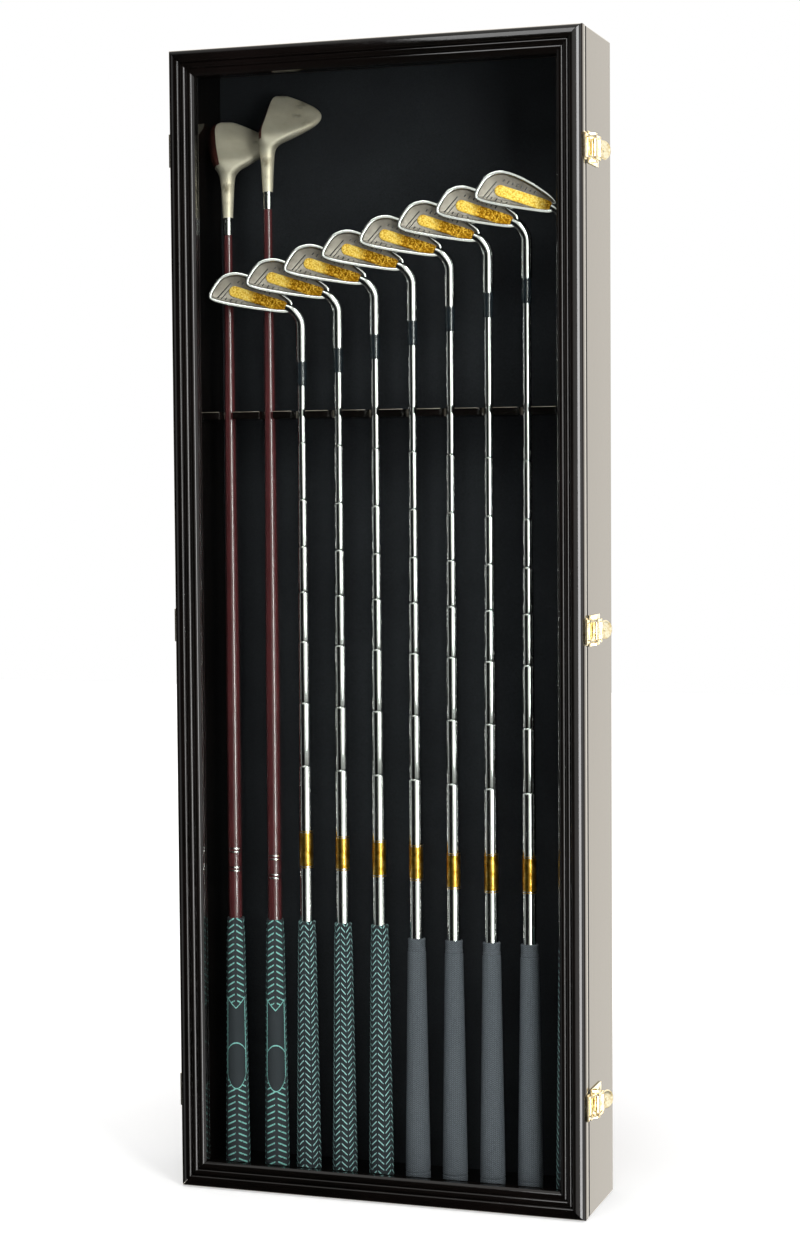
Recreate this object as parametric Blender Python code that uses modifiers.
"""Wall-hung golf club display case: felt-lined cabinet, glazed door, toggle latches, notched rail and ten clubs.

Metres, +Z up, the front faces -Y. The origin is the centre of the back face.
"""
import math

import bmesh
import bpy
from mathutils import Matrix, Vector

# Case body, whose width, height and depth follow from the clubs and these clearances
SIDE_CLEARANCE = 0.002
LAST_CLUB_MARGIN = 0.0189
HEADROOM = 0.025
FRONT_CLEARANCE = 0.001
REAR_CLEARANCE = 0.0033
PANEL_THICKNESS = 0.012
BACK_THICKNESS = 0.006
FELT_THICKNESS = 0.002
PANEL_ROUND = 0.0012

# Clearances
FIT = 0.0003
OVERRUN = 0.002
WELD = 0.00002

# Facets round a turn, and the edge angle that still looks smooth
SMOOTH_UP_TO = math.radians(35.0)
SMALL_SIDES = 8
ROUND_SIDES = 12
THUMB_SIDES = 20

# Keyhole slots in the back panel
KEYHOLE_SPACING = 0.300
KEYHOLE_DROP = 0.070
KEYHOLE_ENTRY_RADIUS = 0.005
KEYHOLE_SLOT_RADIUS = 0.0025
KEYHOLE_TRAVEL = 0.014
KEYHOLE_LIP = 0.002

# Door
DOOR_GAP = 0.003
MOULDING_WIDTH = 0.027
MOULDING_EDGE = 0.010
MOULDING_RISE = 0.008
EDGE_CHAMFER = 0.0008
GLASS_THICKNESS = 0.0025
GLASS_BITE = 0.005
GLASS_BACK_LIP = 0.0015
# Front of the moulding, three reeds from its outer edge to the sight edge, as shares of its width and of its rise
MOULDING_FRONT_SHARES = (
    (0.0, 0.0), (0.0185, 0.25), (0.037, 0.425), (0.059, 0.56), (0.0815, 0.65), (0.1185, 0.72),
    (0.159, 0.79), (0.196, 0.845), (0.241, 0.90), (0.296, 0.95), (0.352, 0.985), (0.40, 1.0),
    (0.445, 0.92), (0.4765, 0.76), (0.494, 0.60), (0.504, 0.50), (0.518, 0.62), (0.548, 0.685),
    (0.593, 0.70), (0.644, 0.65), (0.689, 0.53), (0.711, 0.38), (0.722, 0.28), (0.738, 0.35),
    (0.765, 0.40), (0.815, 0.43), (0.874, 0.40), (0.926, 0.30), (0.963, 0.16), (1.0, 0.0),
)

# Butt hinges
HINGE_FROM_END = 0.1015
HINGE_LENGTH = 0.036
HINGE_BARREL_RADIUS = 0.0018
HINGE_PIN_RADIUS = 0.0008
HINGE_LEAF_WIDTH = 0.0095
HINGE_LEAF_THICKNESS = 0.001
HINGE_KNUCKLES = 5

# Toggle latches
LATCH_FROM_END = 0.1150
LATCH_DROP = 0.0022
LATCH_PIVOT_OUT = 0.0052
LATCH_PIVOT_BACK = 0.012
LATCH_BASE_LENGTH = 0.042
LATCH_BASE_FRONT = 0.0105
LATCH_BASE_HALF_HEIGHT = 0.0155
LATCH_PLATE = 0.0014
LATCH_EAR_HEIGHT = 0.0036
LATCH_EAR_HALF_LENGTH = 0.005
LATCH_EAR_THICKNESS = 0.0016
LATCH_EAR_INSIDE = 0.0125
LATCH_PIN_RADIUS = 0.0012
LATCH_PIN_PLAY = 0.0005
LEVER_HALF_HEIGHT = 0.0085
LEVER_BARREL_RADIUS = 0.0031
LEVER_PLATE = 0.0016
LEVER_REACH = 0.0145
THUMB_RADIUS = 0.0095
THUMB_TILT = math.radians(20.0)
THUMB_OFFSET = 0.0065
LINK_BACK = 0.009
LINK_OUT = 0.003
CLAW_ARM_THICKNESS = 0.0024
CLAW_ARM_WIDTH = 0.0026
CLAW_EYE_RADIUS = 0.003
CLAW_BAR_LENGTH = 0.004
CLAW_BAR_DROP = 0.0033
KEEPER_HALF_HEIGHT = 0.0135
KEEPER_EDGE = 0.0006
KEEPER_BEAD_LENGTH = 0.0022
LATCH_ROUND = 0.0004

# Clubs and their rail
IRON_PITCH = 0.0404
WOOD_TO_IRON = 0.0359
WOOD_CLEARANCE = 0.0044
SHAFT_TO_FLOOR = 0.0062
RAIL_BELOW_HEADS = 0.0505
RAIL_THICKNESS = 0.008
RAIL_FRONT = 0.012
NOTCH_RADIUS = 0.0075
BUTT_RADIUS = 0.0072
TIP_RADIUS = 0.0047
WOOD_TIP_RADIUS = 0.0043
GRIP_BORE_PLAY = 0.0006
GRIP_BUTT_RADIUS = 0.0130
GRIP_MOUTH_RADIUS = 0.0090
GRIP_COLLAR = 0.012
GRIP_EDGE = 0.0015
GRIP_STEP = 0.0005
CORD_GRIP_LENGTH = 0.266
PLAIN_GRIP_LENGTH = 0.254
FERRULE_LENGTH = 0.025
WOOD_FERRULE_LENGTH = 0.018
FERRULE_SWELL = 0.0006
SHAFT_STEP_FIRST = 0.082
SHAFT_STEP_PITCH = 0.056
SHAFT_STEPS = 7
SHAFT_STEP_LENGTH = 0.0012
WOOD_TAPER_SHARE = 0.5
SOCKET_DEPTH = 0.022
SOCKET_PLAY = 0.0005
SHAFT_SIDES = 8
GRIP_SIDES = 12

# Irons
IRON_COUNT = 8
IRON_HOSEL_END = 0.8505
IRON_LENGTH_STEP = 0.0130
IRON_REACH_LONG = 0.097
IRON_REACH_STEP = -0.0014
IRON_TURN = math.radians(18.0)
HOSEL_RADIUS = 0.0053
HOSEL_RISE = 0.035
BLADE_FRONT = 0.006
BLADE_RISE = 0.0925
BLADE_TOP = 0.0050
BLADE_SOLE = 0.0095
RIM_ROUND = 0.0010
RIM_WIDTH = 0.0030
CAVITY_DEPTH = 0.0026
CAVITY_SLOPE = 0.0008
# Blade outline seen from the cavity side: across from the shaft as shares of the reach, up as shares of the rise
BLADE_OUTLINE_SHARES = (
    (-0.100, 0.600), (-0.165, 0.544), (-0.45, 0.575), (-0.80, 0.635), (-0.965, 0.685), (-1.0, 0.740),
    (-0.965, 0.830), (-0.87, 0.950), (-0.72, 1.0), (-0.55, 0.962), (-0.33, 0.850), (-0.12, 0.700),
)
# Hosel's bend into the heel: across, towards the blade's middle plane, up, and thickness, all as shares
HOSEL_BEND_SHARES = (
    (-0.004, 0.1, 0.44, 1.0), (-0.030, 0.5, 0.508, 1.0), (-0.085, 0.9, 0.574, 0.86), (-0.150, 1.0, 0.612, 0.6),
)

# Woods
WOODS_ABOVE_IRONS = 0.1515
WOOD_LENGTH_STEP = 0.025
WOOD_TURN = math.radians(20.0)
WOOD_RISE = 0.105
WOOD_BACK = 0.040
WOOD_REACH = 0.0405
WOOD_THICKNESS = 0.022
WOOD_DRIFTS = (-0.004, 0.016)
WOOD_FACE_SHARE = 0.39
# Sections from the neck's end to the toe, all as shares: the sole's line up and back, its slope from level,
# how far the section goes to the face and to the rear, its thickness, and how far it has left the round neck
WOOD_SECTION_SHARES = (
    (0.0, -0.130, 1.0, 0.130, 0.130, 0.473, 0.0),
    (0.286, -0.170, 1.0, 0.168, 0.168, 0.618, 0.0),
    (0.400, -0.207, 1.0, 0.205, 0.205, 0.755, 0.0),
    (0.457, -0.215, 0.93, 0.235, 0.270, 0.85, 0.2),
    (0.514, -0.188, 0.82, 0.265, 0.385, 0.94, 0.45),
    (0.581, -0.100, 0.67, 0.295, 0.590, 1.0, 0.7),
    (0.648, 0.050, 0.56, 0.315, 0.800, 1.0, 0.9),
    (0.724, 0.240, 0.51, 0.330, 0.970, 1.0, 1.0),
    (0.800, 0.432, 0.51, 0.340, 1.0, 0.98, 1.0),
    (0.867, 0.602, 0.51, 0.345, 0.885, 0.92, 1.0),
    (0.924, 0.748, 0.53, 0.335, 0.640, 0.80, 1.0),
    (0.971, 0.862, 0.56, 0.275, 0.370, 0.56, 1.0),
    (1.0, 0.975, 0.56, 0.130, 0.160, 0.22, 1.0),
)
# One section: across, below 0 to the face and above 0 to the rear, and down from the sole to the crown;
# on the round neck its first point lies at this share of a half turn
WOOD_OUTLINE_START_SHARE = 0.75
WOOD_OUTLINE_SHARES = (
    (-0.92, 0.03), (-0.5, 0.0), (0.0, 0.0), (0.5, 0.0), (0.86, 0.03), (0.97, 0.12), (1.0, 0.25), (0.92, 0.42),
    (0.70, 0.62), (0.35, 0.82), (0.0, 0.95), (-0.4, 1.0), (-0.8, 0.96), (-1.04, 0.82), (-1.12, 0.5), (-1.06, 0.18),
)

PIECES = "golf_club_display_case"
HELPERS = "cutters"

LACQUER = ((0.012, 0.010, 0.010), 0.12, 0.0)
FELT = ((0.010, 0.011, 0.014), 0.95, 0.0)
BOARD = ((0.20, 0.14, 0.09), 0.7, 0.0)
PANE = ((0.90, 0.93, 0.92), 0.05, 0.0)
BRASS = ((0.80, 0.58, 0.22), 0.25, 1.0)
CHROME = ((0.80, 0.80, 0.80), 0.12, 1.0)
STEEL = ((0.36, 0.34, 0.29), 0.30, 1.0)
RED_PAINT = ((0.075, 0.012, 0.014), 0.2, 0.0)
TEAL_RUBBER = ((0.025, 0.045, 0.045), 0.8, 0.0)
GREY_RUBBER = ((0.09, 0.10, 0.11), 0.8, 0.0)

# Room that the clubs take: across from the first wood to the last iron, up to the second wood's toe, and back
WOOD_HOSEL_END = IRON_HOSEL_END + WOODS_ABOVE_IRONS
WOOD_PITCH = WOOD_REACH + WOOD_CLEARANCE
FACE_ROOM = WOOD_BACK * math.sin(WOOD_TURN) + WOOD_FACE_SHARE * WOOD_REACH * math.cos(WOOD_TURN)
FIRST_CLUB_MARGIN = FACE_ROOM + SIDE_CLEARANCE
CLUBS_WIDTH = WOOD_PITCH + WOOD_TO_IRON + (IRON_COUNT - 1) * IRON_PITCH
CLUBS_HEIGHT = WOOD_HOSEL_END + WOOD_LENGTH_STEP + WOOD_RISE
FELT_DEPTH = BACK_THICKNESS + FIT + FELT_THICKNESS
REAR_ROOM = WOOD_BACK * math.cos(WOOD_TURN) + WOOD_REACH * math.sin(WOOD_TURN)
SHAFT_PLANE = FELT_DEPTH + REAR_ROOM + REAR_CLEARANCE

# Places worked out from the sizes
CASE_WIDTH = 2 * PANEL_THICKNESS + FIRST_CLUB_MARGIN + CLUBS_WIDTH + LAST_CLUB_MARGIN
CASE_HEIGHT = 2 * PANEL_THICKNESS + CLUBS_HEIGHT + HEADROOM
BODY_DEPTH = SHAFT_PLANE + IRON_REACH_LONG * math.sin(IRON_TURN) + BLADE_FRONT + FRONT_CLEARANCE
RAIL_HEIGHT = IRON_HOSEL_END - RAIL_BELOW_HEADS
HALF_WIDTH = CASE_WIDTH / 2
HALF_HEIGHT = CASE_HEIGHT / 2
INNER_HALF_WIDTH = HALF_WIDTH - PANEL_THICKNESS
INNER_HALF_HEIGHT = HALF_HEIGHT - PANEL_THICKNESS
CASE_FRONT = -BODY_DEPTH
DOOR_REAR = CASE_FRONT - DOOR_GAP
FELT_FRONT = -FELT_DEPTH
HINGE_X = -(HALF_WIDTH + HINGE_BARREL_RADIUS + FIT)
HINGE_Y = CASE_FRONT - DOOR_GAP / 2
LATCH_X = HALF_WIDTH + LATCH_PIVOT_OUT
LATCH_Y = CASE_FRONT + LATCH_PIVOT_BACK
FLOOR_Z = -INNER_HALF_HEIGHT


def clear_scene():
    """Empty the scene."""
    for thing in list(bpy.data.objects):
        bpy.data.objects.remove(thing, do_unlink=True)


def collection(name):
    """The collection of that name, made when it is missing."""
    found = bpy.data.collections.get(name)
    if found is None:
        found = bpy.data.collections.new(name)
        bpy.context.scene.collection.children.link(found)
    return found


def finish(name, look):
    """A material with that colour, roughness and metallic value."""
    colour, roughness, metallic = look
    made = bpy.data.materials.new(name + "_finish")
    made.use_nodes = True
    shader = made.node_tree.nodes["Principled BSDF"]
    shader.inputs["Base Color"].default_value = (*colour, 1.0)
    shader.inputs["Roughness"].default_value = roughness
    shader.inputs["Metallic"].default_value = metallic
    made.diffuse_color = (*colour, 1.0)
    return made


def helper(name, mesh):
    """A cutter or a half-made shape, left out of the model."""
    made = bpy.data.objects.new(name + "_shape", mesh)
    collection(HELPERS).objects.link(made)
    made.hide_render = True
    made.display_type = "WIRE"
    return made


def mesh_from(name, shape):
    """Turn a bmesh into a mesh with its faces pointing out."""
    bmesh.ops.recalc_face_normals(shape, faces=shape.faces)
    mesh = bpy.data.meshes.new(name)
    shape.to_mesh(mesh)
    shape.free()
    return mesh


def box(name, low, high):
    """A box between two corners."""
    shape = bmesh.new()
    bmesh.ops.create_cube(shape, size=1.0)
    low, high = Vector(low), Vector(high)
    size = Matrix.Diagonal((*(high - low), 1.0))
    bmesh.ops.transform(shape, matrix=Matrix.Translation((low + high) / 2) @ size, verts=shape.verts)
    return helper(name, mesh_from(name, shape))


def rod(name, start, end, radius, sides):
    """A cylinder between two points."""
    start, end = Vector(start), Vector(end)
    run = end - start
    shape = bmesh.new()
    bmesh.ops.create_cone(
        shape, cap_ends=True, segments=sides, radius1=radius, radius2=radius, depth=run.length
    )
    turn = run.to_track_quat("Z", "Y").to_matrix().to_4x4()
    bmesh.ops.transform(shape, matrix=Matrix.Translation((start + end) / 2) @ turn, verts=shape.verts)
    return helper(name, mesh_from(name, shape))


def turned(name, profile, steps):
    """Turn a profile of (radius, height) about Z; it runs down the outer side."""
    shape = bmesh.new()
    points = [shape.verts.new((radius, 0, height)) for radius, height in profile]
    for first, second in zip(points, points[1:]):
        shape.edges.new((first, second))
    mesh = bpy.data.meshes.new(name)
    shape.to_mesh(mesh)
    shape.free()
    made = helper(name, mesh)
    screw = made.modifiers.new("turn", "SCREW")
    screw.steps = steps
    screw.render_steps = steps
    screw.use_merge_vertices = True
    screw.merge_threshold = WELD
    return made


def tube(name, points, radii, bevel_radius):
    """A tube through points, whose radius follows the given shares of bevel_radius."""
    curve = bpy.data.curves.new(name, "CURVE")
    curve.dimensions = "3D"
    curve.bevel_depth = bevel_radius
    curve.bevel_resolution = 2
    curve.use_fill_caps = True
    run = curve.splines.new("POLY")
    run.points.add(len(points) - 1)
    for point, place, radius in zip(run.points, points, radii):
        point.co = (*place, 1.0)
        point.radius = radius
    drawn = bpy.data.objects.new(name, curve)
    collection(HELPERS).objects.link(drawn)
    made = helper(name, welded(drawn))
    bpy.data.objects.remove(drawn)
    return made


def welded(thing):
    """The evaluated mesh of an object, with its loose caps joined."""
    bpy.context.view_layer.update()
    seen = thing.evaluated_get(bpy.context.evaluated_depsgraph_get())
    mesh = bpy.data.meshes.new_from_object(seen)
    shape = bmesh.new()
    shape.from_mesh(mesh)
    bmesh.ops.remove_doubles(shape, verts=shape.verts, dist=WELD)
    bmesh.ops.recalc_face_normals(shape, faces=shape.faces)
    shape.to_mesh(mesh)
    shape.free()
    return mesh


def combine(base, operation, others):
    """Join helpers to the base, or cut them out of it."""
    for other in others:
        step = base.modifiers.new(operation.lower(), "BOOLEAN")
        step.operation = operation
        step.object = other
    return base


def rounded(thing, width, segments=2):
    """Round the edges of a shape that is still made of few faces."""
    step = thing.modifiers.new("round", "BEVEL")
    step.width = width
    step.segments = segments
    step.limit_method = "ANGLE"
    return thing


def baked(thing):
    """The finished mesh of a helper, to be shared by its copies."""
    mesh = welded(thing)
    mesh.shade_smooth()
    mesh.set_sharp_from_angle(angle=SMOOTH_UP_TO)
    return mesh


def place(name, mesh, look, location=(0, 0, 0), turn=(0, 0, 0), parent=None):
    """Put a mesh in the model as a piece of its own."""
    made = bpy.data.objects.new(name, mesh.copy())
    collection(PIECES).objects.link(made)
    made.location = location
    made.rotation_euler = turn
    if parent:
        made.parent = parent
        made.matrix_parent_inverse = Matrix.Translation(parent.location).inverted()
    made.data.materials.clear()
    made.data.materials.append(finish(name, look))
    return made


def pivot(name, location):
    """An empty on a joint's axis."""
    made = bpy.data.objects.new(name, None)
    collection(PIECES).objects.link(made)
    made.location = location
    made.empty_display_size = MOULDING_WIDTH
    return made


def build_body():
    """Sides, top, bottom, keyholed back panel and the felt board in front of it."""
    for name, side in (("left_side", -1), ("right_side", 1)):
        ends = sorted((side * HALF_WIDTH, side * INNER_HALF_WIDTH))
        panel = box(name, (ends[0], CASE_FRONT, -HALF_HEIGHT), (ends[1], 0, HALF_HEIGHT))
        place(name, baked(rounded(panel, PANEL_ROUND)), LACQUER)
    reach = INNER_HALF_WIDTH - FIT
    for name, side in (("bottom_panel", -1), ("top_panel", 1)):
        ends = sorted((side * HALF_HEIGHT, side * INNER_HALF_HEIGHT))
        panel = box(name, (-reach, CASE_FRONT, ends[0]), (reach, 0, ends[1]))
        place(name, baked(rounded(panel, PANEL_ROUND)), LACQUER)
    top = INNER_HALF_HEIGHT - FIT
    back = box("back_panel", (-reach, -BACK_THICKNESS, -top), (reach, 0, top))
    combine(back, "DIFFERENCE", keyhole_cutters())
    place("back_panel", baked(back), BOARD)
    felt = box("felt_board", (-reach, FELT_FRONT, -top), (reach, -(BACK_THICKNESS + FIT), top))
    place("felt_board", baked(felt), FELT)


def keyhole_cutters():
    """Round entry, narrow slot at the rear face and wider undercut in front of it, at both hanging points."""
    cutters = []
    for side in (-1, 1):
        x = side * KEYHOLE_SPACING / 2
        z = HALF_HEIGHT - KEYHOLE_DROP
        deep = -(BACK_THICKNESS + OVERRUN)
        entry = rod("keyhole_entry", (x, deep, z), (x, OVERRUN, z), KEYHOLE_ENTRY_RADIUS, ROUND_SIDES)
        slot = box(
            "keyhole_slot",
            (x - KEYHOLE_SLOT_RADIUS, deep, z),
            (x + KEYHOLE_SLOT_RADIUS, OVERRUN, z + KEYHOLE_TRAVEL),
        )
        undercut = box(
            "keyhole_undercut",
            (x - KEYHOLE_ENTRY_RADIUS, deep, z),
            (x + KEYHOLE_ENTRY_RADIUS, -KEYHOLE_LIP, z + KEYHOLE_TRAVEL + KEYHOLE_SLOT_RADIUS),
        )
        cutters += [entry, slot, undercut]
    return cutters


def moulding_profile():
    """Cross-section of a door member: (distance in from the outer edge, height off the rear face)."""
    groove_low = GLASS_BACK_LIP
    groove_high = GLASS_BACK_LIP + GLASS_THICKNESS + 2 * FIT
    groove_floor = MOULDING_WIDTH - GLASS_BITE - FIT
    front = [
        (across * MOULDING_WIDTH, MOULDING_EDGE + up * MOULDING_RISE) for across, up in MOULDING_FRONT_SHARES
    ]
    return [
        (EDGE_CHAMFER, 0), (0, EDGE_CHAMFER), *front, (MOULDING_WIDTH, groove_high),
        (groove_floor, groove_high), (groove_floor, groove_low), (MOULDING_WIDTH, groove_low),
        (MOULDING_WIDTH, 0),
    ]


def moulding_member(name, length):
    """One mitred member: its outer edge lies on z = 0, it grows towards +Z and shows its front to -Y."""
    shape = bmesh.new()
    half = length / 2
    ring = [shape.verts.new((across + FIT - half, -up, across)) for across, up in moulding_profile()]
    grown = bmesh.ops.extrude_face_region(shape, geom=[shape.faces.new(ring)])
    for part in grown["geom"]:
        if isinstance(part, bmesh.types.BMVert):
            part.co.x = -part.co.x
    return helper(name, mesh_from(name, shape))


def build_door():
    """Four mitred members in a glazing groove round the pane, all on the hinge axis."""
    axis = pivot("door_hinge_axis", (HINGE_X, HINGE_Y, 0))
    members = (
        ("door_bottom_rail", CASE_WIDTH, (0, DOOR_REAR, -HALF_HEIGHT), 0.0),
        ("door_top_rail", CASE_WIDTH, (0, DOOR_REAR, HALF_HEIGHT), math.pi),
        ("door_left_stile", CASE_HEIGHT, (-HALF_WIDTH, DOOR_REAR, 0), math.pi / 2),
        ("door_right_stile", CASE_HEIGHT, (HALF_WIDTH, DOOR_REAR, 0), -math.pi / 2),
    )
    for name, length, location, turn in members:
        mesh = baked(moulding_member(name, length))
        place(name, mesh, LACQUER, location, (0, turn, 0), axis)
    inset = MOULDING_WIDTH - GLASS_BITE
    rear = DOOR_REAR - GLASS_BACK_LIP - FIT
    pane = box(
        "glass",
        (inset - HALF_WIDTH, rear - GLASS_THICKNESS, inset - HALF_HEIGHT),
        (HALF_WIDTH - inset, rear, HALF_HEIGHT - inset),
    )
    place("glass", baked(pane), PANE, parent=axis)
    return axis


def hinge_leaf(name, parity, side):
    """A leaf with its knuckles about the origin; side is +1 towards the case and -1 towards the door."""
    pitch = HINGE_LENGTH / HINGE_KNUCKLES
    half = HINGE_LENGTH / 2
    near = DOOR_GAP / 2 - FIT - HINGE_LEAF_THICKNESS
    far = DOOR_GAP / 2 - FIT
    ends = sorted((side * near, side * far))
    clear = HINGE_BARREL_RADIUS + FIT
    leaf = box(name, (clear, ends[0], -half), (clear + HINGE_LEAF_WIDTH, ends[1], half))
    parts = []
    for index in range(HINGE_KNUCKLES):
        if index % 2 != parity:
            continue
        low = index * pitch - half + (FIT / 2 if index else 0)
        high = (index + 1) * pitch - half - (FIT / 2 if index < HINGE_KNUCKLES - 1 else 0)
        parts.append(rod("knuckle", (0, 0, low), (0, 0, high), HINGE_BARREL_RADIUS, SMALL_SIDES))
        parts.append(box("knuckle_tab", (0, ends[0], low), (clear + HINGE_LEAF_THICKNESS, ends[1], high)))
    combine(leaf, "UNION", parts)
    pin = rod("pin", (0, 0, -half), (0, 0, half), HINGE_PIN_RADIUS, SMALL_SIDES)
    bore = rod("bore", (0, 0, -half - OVERRUN), (0, 0, half + OVERRUN), HINGE_PIN_RADIUS + FIT, SMALL_SIDES)
    if parity:
        return combine(leaf, "DIFFERENCE", [bore])
    return combine(leaf, "UNION", [pin])


def build_hinges(axis):
    """Three butt hinges between the left side's front edge and the left stile."""
    case_leaf = baked(hinge_leaf("case_leaf", 0, 1))
    door_leaf = baked(hinge_leaf("door_leaf", 1, -1))
    for label, level in (("lower", -1), ("middle", 0), ("upper", 1)):
        spot = (HINGE_X, HINGE_Y, level * (HALF_HEIGHT - HINGE_FROM_END))
        place(label + "_hinge_case_leaf", case_leaf, BRASS, spot)
        place(label + "_hinge_door_leaf", door_leaf, BRASS, spot, parent=axis)


def latch_base():
    """Screwed plate with two ears and the lever's pin, about the lever's pivot."""
    floor = FIT - LATCH_PIVOT_OUT
    top = floor + LATCH_PLATE
    half = LATCH_BASE_HALF_HEIGHT
    base = box(
        "latch_base", (floor, -LATCH_BASE_FRONT, -half), (top, LATCH_BASE_LENGTH - LATCH_BASE_FRONT, half)
    )
    rounded(base, LATCH_ROUND, 1)
    parts = []
    for side in (-1, 1):
        ends = sorted((side * LATCH_EAR_INSIDE, side * (LATCH_EAR_INSIDE + LATCH_EAR_THICKNESS)))
        low = (top - LATCH_PLATE / 2, -LATCH_EAR_HALF_LENGTH, ends[0])
        parts.append(box("ear", low, (0, LATCH_EAR_HALF_LENGTH, ends[1])))
        parts.append(rod("ear_top", (0, 0, ends[0]), (0, 0, ends[1]), LATCH_EAR_HEIGHT, ROUND_SIDES))
    reach = LATCH_EAR_INSIDE + LATCH_EAR_THICKNESS / 2
    parts.append(rod("lever_pin", (0, 0, -reach), (0, 0, reach), LATCH_PIN_RADIUS, SMALL_SIDES))
    return combine(base, "UNION", parts)


def latch_lever():
    """Barrel on the base's pin, lever plate, link barrel with its pin, and the raised round thumb tab."""
    half = LEVER_HALF_HEIGHT
    outer = LEVER_BARREL_RADIUS
    lever = rod("latch_lever", (0, 0, -half), (0, 0, half), outer, ROUND_SIDES)
    inner = outer - LEVER_PLATE
    thumb_out = inner + LEVER_PLATE / 2 + THUMB_OFFSET * math.sin(THUMB_TILT)
    thumb_back = LEVER_REACH + THUMB_OFFSET * math.cos(THUMB_TILT)
    facing = Vector((math.cos(THUMB_TILT), -math.sin(THUMB_TILT), 0)) * LEVER_PLATE / 2
    centre = Vector((thumb_out, thumb_back, 0))
    parts = [
        box("lever_plate", (inner, 0, -half), (outer - FIT / 2, LEVER_REACH, half)),
        rod("link_barrel", (LINK_OUT, LINK_BACK, -half), (LINK_OUT, LINK_BACK, half), CLAW_EYE_RADIUS - FIT, ROUND_SIDES),
        rod("thumb_tab", centre - facing, centre + facing, THUMB_RADIUS, THUMB_SIDES),
    ]
    combine(lever, "UNION", parts)
    bore = rod("bore", (0, 0, -half - OVERRUN), (0, 0, half + OVERRUN), LATCH_PIN_RADIUS + LATCH_PIN_PLAY, SMALL_SIDES)
    combine(lever, "DIFFERENCE", [bore])
    reach = half + FIT + CLAW_ARM_WIDTH
    pin = rod("link_pin", (LINK_OUT, LINK_BACK, -reach), (LINK_OUT, LINK_BACK, reach), LATCH_PIN_RADIUS, SMALL_SIDES)
    return combine(lever, "UNION", [pin])


def latch_claw():
    """Two eyed arms astride the lever, joined by the bar that lies over the keeper; about the link's pin."""
    inside = LEVER_HALF_HEIGHT + 2 * FIT
    outside = inside + CLAW_ARM_WIDTH
    thick = CLAW_ARM_THICKNESS / 2
    front = keeper_front() - LINK_BACK
    claw = box(
        "latch_claw",
        (thick - CLAW_BAR_DROP - CLAW_ARM_THICKNESS, front, -outside - FIT),
        (thick + FIT, front + CLAW_BAR_LENGTH, outside + FIT),
    )
    rounded(claw, LATCH_ROUND, 1)
    parts = []
    for side in (-1, 1):
        ends = sorted((side * (inside + FIT / 2), side * (outside - FIT / 2)))
        parts.append(box("arm", (-thick, front + CLAW_BAR_LENGTH / 2, ends[0]), (thick, 0, ends[1])))
        parts.append(rod("eye", (0, 0, side * inside), (0, 0, side * outside), CLAW_EYE_RADIUS, ROUND_SIDES))
    combine(claw, "UNION", parts)
    reach = outside + OVERRUN
    bore = rod("bore", (0, 0, -reach), (0, 0, reach), LATCH_PIN_RADIUS + LATCH_PIN_PLAY, SMALL_SIDES)
    return combine(claw, "DIFFERENCE", [bore])


def keeper_front():
    """Front end of the keeper and of the claw's bar, measured from the lever's pivot."""
    return KEEPER_EDGE - MOULDING_EDGE - DOOR_GAP - LATCH_PIVOT_BACK


def latch_keeper():
    """Plate on the door's edge with a low bead that passes just under the claw's bar."""
    floor = FIT - LATCH_PIVOT_OUT
    rear = -(LATCH_PIVOT_BACK + DOOR_GAP + KEEPER_EDGE)
    half = KEEPER_HALF_HEIGHT
    keeper = box("latch_keeper", (floor, keeper_front(), -half), (floor + LATCH_PLATE, rear, half))
    rounded(keeper, LATCH_ROUND, 1)
    bead_top = LINK_OUT + CLAW_ARM_THICKNESS / 2 - CLAW_BAR_DROP - CLAW_ARM_THICKNESS - FIT
    bead_half = LEVER_HALF_HEIGHT
    bead = box(
        "bead", (floor + LATCH_PLATE / 2, rear - KEEPER_BEAD_LENGTH, -bead_half), (bead_top, rear - FIT, bead_half)
    )
    return combine(keeper, "UNION", [rounded(bead, LATCH_ROUND, 1)])


def build_latches(axis):
    """Three toggle latches on the right side, with their keepers on the door's edge."""
    meshes = {
        "base": baked(latch_base()), "lever": baked(latch_lever()),
        "claw": baked(latch_claw()), "keeper": baked(latch_keeper()),
    }
    for label, level in (("lower", -1), ("middle", 0), ("upper", 1)):
        spot = Vector((LATCH_X, LATCH_Y, level * (HALF_HEIGHT - LATCH_FROM_END) - LATCH_DROP))
        place(label + "_latch_base", meshes["base"], BRASS, spot)
        place(label + "_latch_lever", meshes["lever"], BRASS, spot)
        place(label + "_latch_claw", meshes["claw"], BRASS, spot + Vector((LINK_OUT, LINK_BACK, 0)))
        place(label + "_latch_keeper", meshes["keeper"], BRASS, spot, parent=axis)


def club_places():
    """Across-the-case place of each shaft, from the left."""
    first_wood = FIRST_CLUB_MARGIN - INNER_HALF_WIDTH
    second_wood = first_wood + WOOD_PITCH
    irons = [second_wood + WOOD_TO_IRON + index * IRON_PITCH for index in range(IRON_COUNT)]
    return [first_wood, second_wood, *irons]


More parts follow.
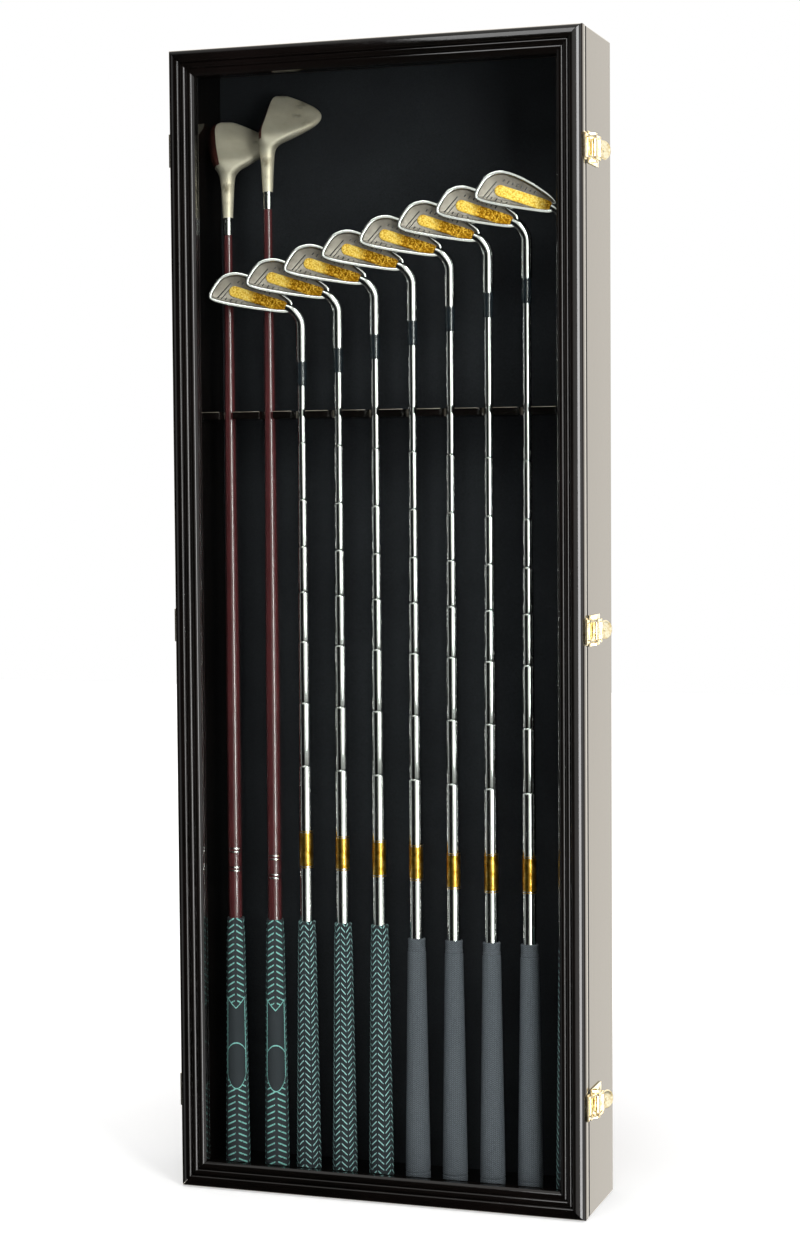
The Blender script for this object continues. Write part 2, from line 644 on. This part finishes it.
def build_rail():
    """Notched plank from side to side, against the felt, with one open notch for each shaft."""
    top = FLOOR_Z + RAIL_HEIGHT
    reach = INNER_HALF_WIDTH - FIT
    front = -SHAFT_PLANE - RAIL_FRONT
    rail = box("club_rail", (-reach, front, top - RAIL_THICKNESS), (reach, FELT_FRONT - FIT, top))
    cutters = []
    for x in club_places():
        low, high = top - RAIL_THICKNESS - OVERRUN, top + OVERRUN
        cutters.append(rod("notch_end", (x, -SHAFT_PLANE, low), (x, -SHAFT_PLANE, high), NOTCH_RADIUS, ROUND_SIDES))
        cutters.append(
            box("notch", (x - NOTCH_RADIUS, front - OVERRUN, low), (x + NOTCH_RADIUS, -SHAFT_PLANE, high))
        )
    place("club_rail", baked(combine(rail, "DIFFERENCE", cutters)), LACQUER)


def shaft_profile(length, tip_radius, ferrule, steps):
    """Profile of a shaft standing on z = 0, from its tip down to its butt; the tip stands in the head's socket."""
    tip = length + SOCKET_DEPTH - FIT
    top = length - FIT
    swell = tip_radius + FERRULE_SWELL
    profile = [(0, tip), (tip_radius, tip), (tip_radius, top), (swell, top), (swell, top - ferrule)]
    radius = tip_radius
    profile.append((radius, top - ferrule - FIT))
    grow = (BUTT_RADIUS - tip_radius) / max(steps, 1)
    for index in range(steps):
        height = length - SHAFT_STEP_FIRST - index * SHAFT_STEP_PITCH
        profile.append((radius, height))
        radius += grow
        profile.append((radius, height - SHAFT_STEP_LENGTH))
    if not steps:
        profile.append((BUTT_RADIUS, length * WOOD_TAPER_SHARE))
    return profile + [(BUTT_RADIUS, 0), (0, 0)]


def grip_profile(length):
    """Tapered sleeve with a rounded cap and collar, and the bore that the shaft fills."""
    bore = BUTT_RADIUS + GRIP_BORE_PLAY
    collar = length - GRIP_COLLAR
    cap = SHAFT_TO_FLOOR - FIT
    return [
        (bore, length), (GRIP_MOUTH_RADIUS - GRIP_STEP, length), (GRIP_MOUTH_RADIUS, length - GRIP_EDGE),
        (GRIP_MOUTH_RADIUS, collar), (GRIP_MOUTH_RADIUS + GRIP_STEP, collar - GRIP_EDGE),
        (GRIP_BUTT_RADIUS, GRIP_COLLAR), (GRIP_BUTT_RADIUS, GRIP_EDGE),
        (GRIP_BUTT_RADIUS - GRIP_EDGE, FIT), (0, FIT), (0, cap), (bore, cap),
    ]


def closed(profile):
    """The same profile, ended where it began."""
    return profile + [profile[0]]


def blade(reach):
    """Cavity-back blade in the plane y = 0: outline, thickness growing to the sole, rounded rim, sunk back."""
    curve = bpy.data.curves.new("blade_outline", "CURVE")
    curve.dimensions = "2D"
    curve.fill_mode = "NONE"
    curve.resolution_u = 2
    run = curve.splines.new("BEZIER")
    run.use_cyclic_u = True
    run.bezier_points.add(len(BLADE_OUTLINE_SHARES) - 1)
    for point, (across, up) in zip(run.bezier_points, BLADE_OUTLINE_SHARES):
        point.co = (across * reach, up * BLADE_RISE, 0)
        point.handle_left_type = point.handle_right_type = "AUTO"
    drawn = bpy.data.objects.new("blade_outline", curve)
    collection(HELPERS).objects.link(drawn)
    outline = welded(drawn)
    bpy.data.objects.remove(drawn)
    shape = bmesh.new()
    shape.from_mesh(outline)
    upright = Matrix.Rotation(math.pi / 2, 4, "X")
    bmesh.ops.transform(shape, matrix=Matrix.Translation((0, -BLADE_FRONT, 0)) @ upright, verts=shape.verts)
    bmesh.ops.contextual_create(shape, geom=shape.edges[:])
    front = shape.faces[:][0]
    front.normal_update()
    if front.normal.y > 0:
        front.normal_flip()
    ups = [vert.co.z for vert in front.verts]
    low, high = min(ups), max(ups)
    grown = bmesh.ops.extrude_face_region(shape, geom=[front])
    back = [part for part in grown["geom"] if isinstance(part, bmesh.types.BMFace)][0]
    for vert in back.verts:
        share = (vert.co.z - low) / (high - low)
        vert.co.y += BLADE_TOP + share * (BLADE_SOLE - BLADE_TOP)
    shape.faces.ensure_lookup_table()
    bmesh.ops.recalc_face_normals(shape, faces=shape.faces)
    faces = sorted(shape.faces, key=lambda face: face.calc_area())[-2:]
    front = min(faces, key=lambda face: face.calc_center_median().y)
    back = max(faces, key=lambda face: face.calc_center_median().y)
    for face in (front, back):
        bmesh.ops.inset_region(shape, faces=[face], thickness=RIM_ROUND, depth=RIM_ROUND / 2, use_even_offset=True)
    bmesh.ops.inset_region(shape, faces=[front], thickness=RIM_WIDTH, use_even_offset=True)
    bmesh.ops.inset_region(
        shape, faces=[front], thickness=CAVITY_SLOPE, depth=-CAVITY_DEPTH, use_even_offset=True
    )
    return helper("blade", mesh_from("blade", shape))


def socket(radius):
    """Bore that takes the shaft's tip, from the hosel's end up."""
    play = radius + SOCKET_PLAY
    return rod("socket", (0, 0, -OVERRUN), (0, 0, SOCKET_DEPTH), play, SHAFT_SIDES)


def iron_head(reach):
    """Blade, with the hosel that bends up out of its heel, about the shaft's axis at the hosel's end."""
    route = [(0, 0, 0), (0, 0, HOSEL_RISE)]
    radii = [1, 1]
    middle = BLADE_TOP / 2 - BLADE_FRONT
    for across, aside, up, swell in HOSEL_BEND_SHARES:
        route.append((across * reach, aside * middle, up * BLADE_RISE))
        radii.append(swell)
    hosel = tube("hosel", route, radii, HOSEL_RADIUS + SOCKET_PLAY)
    combine(hosel, "UNION", [blade(reach)])
    return combine(hosel, "DIFFERENCE", [socket(TIP_RADIUS)])


def wood_section(shares, drift):
    """Ring of points round one section of a wood's head."""
    up, back, slope, to_face, to_rear, thick, leave = shares
    slope *= math.pi / 2
    sole_line = Vector((max(back, 0) * drift, back * WOOD_BACK, up * WOOD_RISE))
    inward = Vector((0, math.sin(slope), -math.cos(slope))) * thick * WOOD_THICKNESS
    ring = []
    for index, (across, down) in enumerate(WOOD_OUTLINE_SHARES):
        turn = math.pi * (WOOD_OUTLINE_START_SHARE - 2 * index / len(WOOD_OUTLINE_SHARES))
        across = across * leave + math.cos(turn) * (1 - leave)
        down = down * leave + (1 - math.sin(turn)) / 2 * (1 - leave)
        width = (to_rear if across > 0 else to_face) * WOOD_REACH
        ring.append(sole_line + inward * down + Vector((across * width, 0, 0)))
    return ring


def wood_head(drift):
    """Loft from the round neck to the pear-shaped body with its flat sole, about the shaft's axis at the neck's end."""
    shape = bmesh.new()
    rings = [
        [shape.verts.new(point) for point in wood_section(shares, drift)] for shares in WOOD_SECTION_SHARES
    ]
    for lower, upper in zip(rings, rings[1:]):
        for index in range(len(lower)):
            after = (index + 1) % len(lower)
            shape.faces.new((lower[index], lower[after], upper[after], upper[index]))
    shape.faces.new(rings[0])
    shape.faces.new(rings[-1])
    head = helper("wood_head", mesh_from("wood_head", shape))
    return combine(head, "DIFFERENCE", [socket(WOOD_TIP_RADIUS)])


def build_clubs():
    """Two woods and eight irons, each as a head, a shaft and a grip, standing butt down."""
    cord = baked(turned("cord_grip", closed(grip_profile(CORD_GRIP_LENGTH)), GRIP_SIDES))
    plain = baked(turned("plain_grip", closed(grip_profile(PLAIN_GRIP_LENGTH)), GRIP_SIDES))
    foot = FLOOR_Z + SHAFT_TO_FLOOR
    for index, x in enumerate(club_places()):
        iron = index - 2
        if iron < 0:
            name = ("first_wood", "second_wood")[index]
            end = FLOOR_Z + WOOD_HOSEL_END + index * WOOD_LENGTH_STEP
            head = baked(wood_head(WOOD_DRIFTS[index]))
            place(name + "_head", head, STEEL, (x, -SHAFT_PLANE, end), (0, 0, WOOD_TURN))
            profile, look = shaft_profile(end - foot, WOOD_TIP_RADIUS, WOOD_FERRULE_LENGTH, 0), RED_PAINT
        else:
            name = "iron_" + str(iron + 1)
            end = FLOOR_Z + IRON_HOSEL_END + iron * IRON_LENGTH_STEP
            head = baked(iron_head(IRON_REACH_LONG + iron * IRON_REACH_STEP))
            place(name + "_head", head, CHROME, (x, -SHAFT_PLANE, end), (0, 0, IRON_TURN))
            profile, look = shaft_profile(end - foot, TIP_RADIUS, FERRULE_LENGTH, SHAFT_STEPS), CHROME
        shaft = baked(turned(name + "_shaft", profile, SHAFT_SIDES))
        place(name + "_shaft", shaft, look, (x, -SHAFT_PLANE, foot))
        corded = iron < 3 or iron == IRON_COUNT - 1
        grip, rubber = (cord, TEAL_RUBBER) if corded else (plain, GREY_RUBBER)
        place(name + "_grip", grip, rubber, (x, -SHAFT_PLANE, FLOOR_Z))


def remove_helpers():
    """Take away the half-made shapes, which the finished meshes no longer need."""
    for thing in list(collection(HELPERS).objects):
        bpy.data.objects.remove(thing, do_unlink=True)


clear_scene()
build_body()
door_axis = build_door()
build_hinges(door_axis)
build_latches(door_axis)
build_rail()
build_clubs()
remove_helpers()
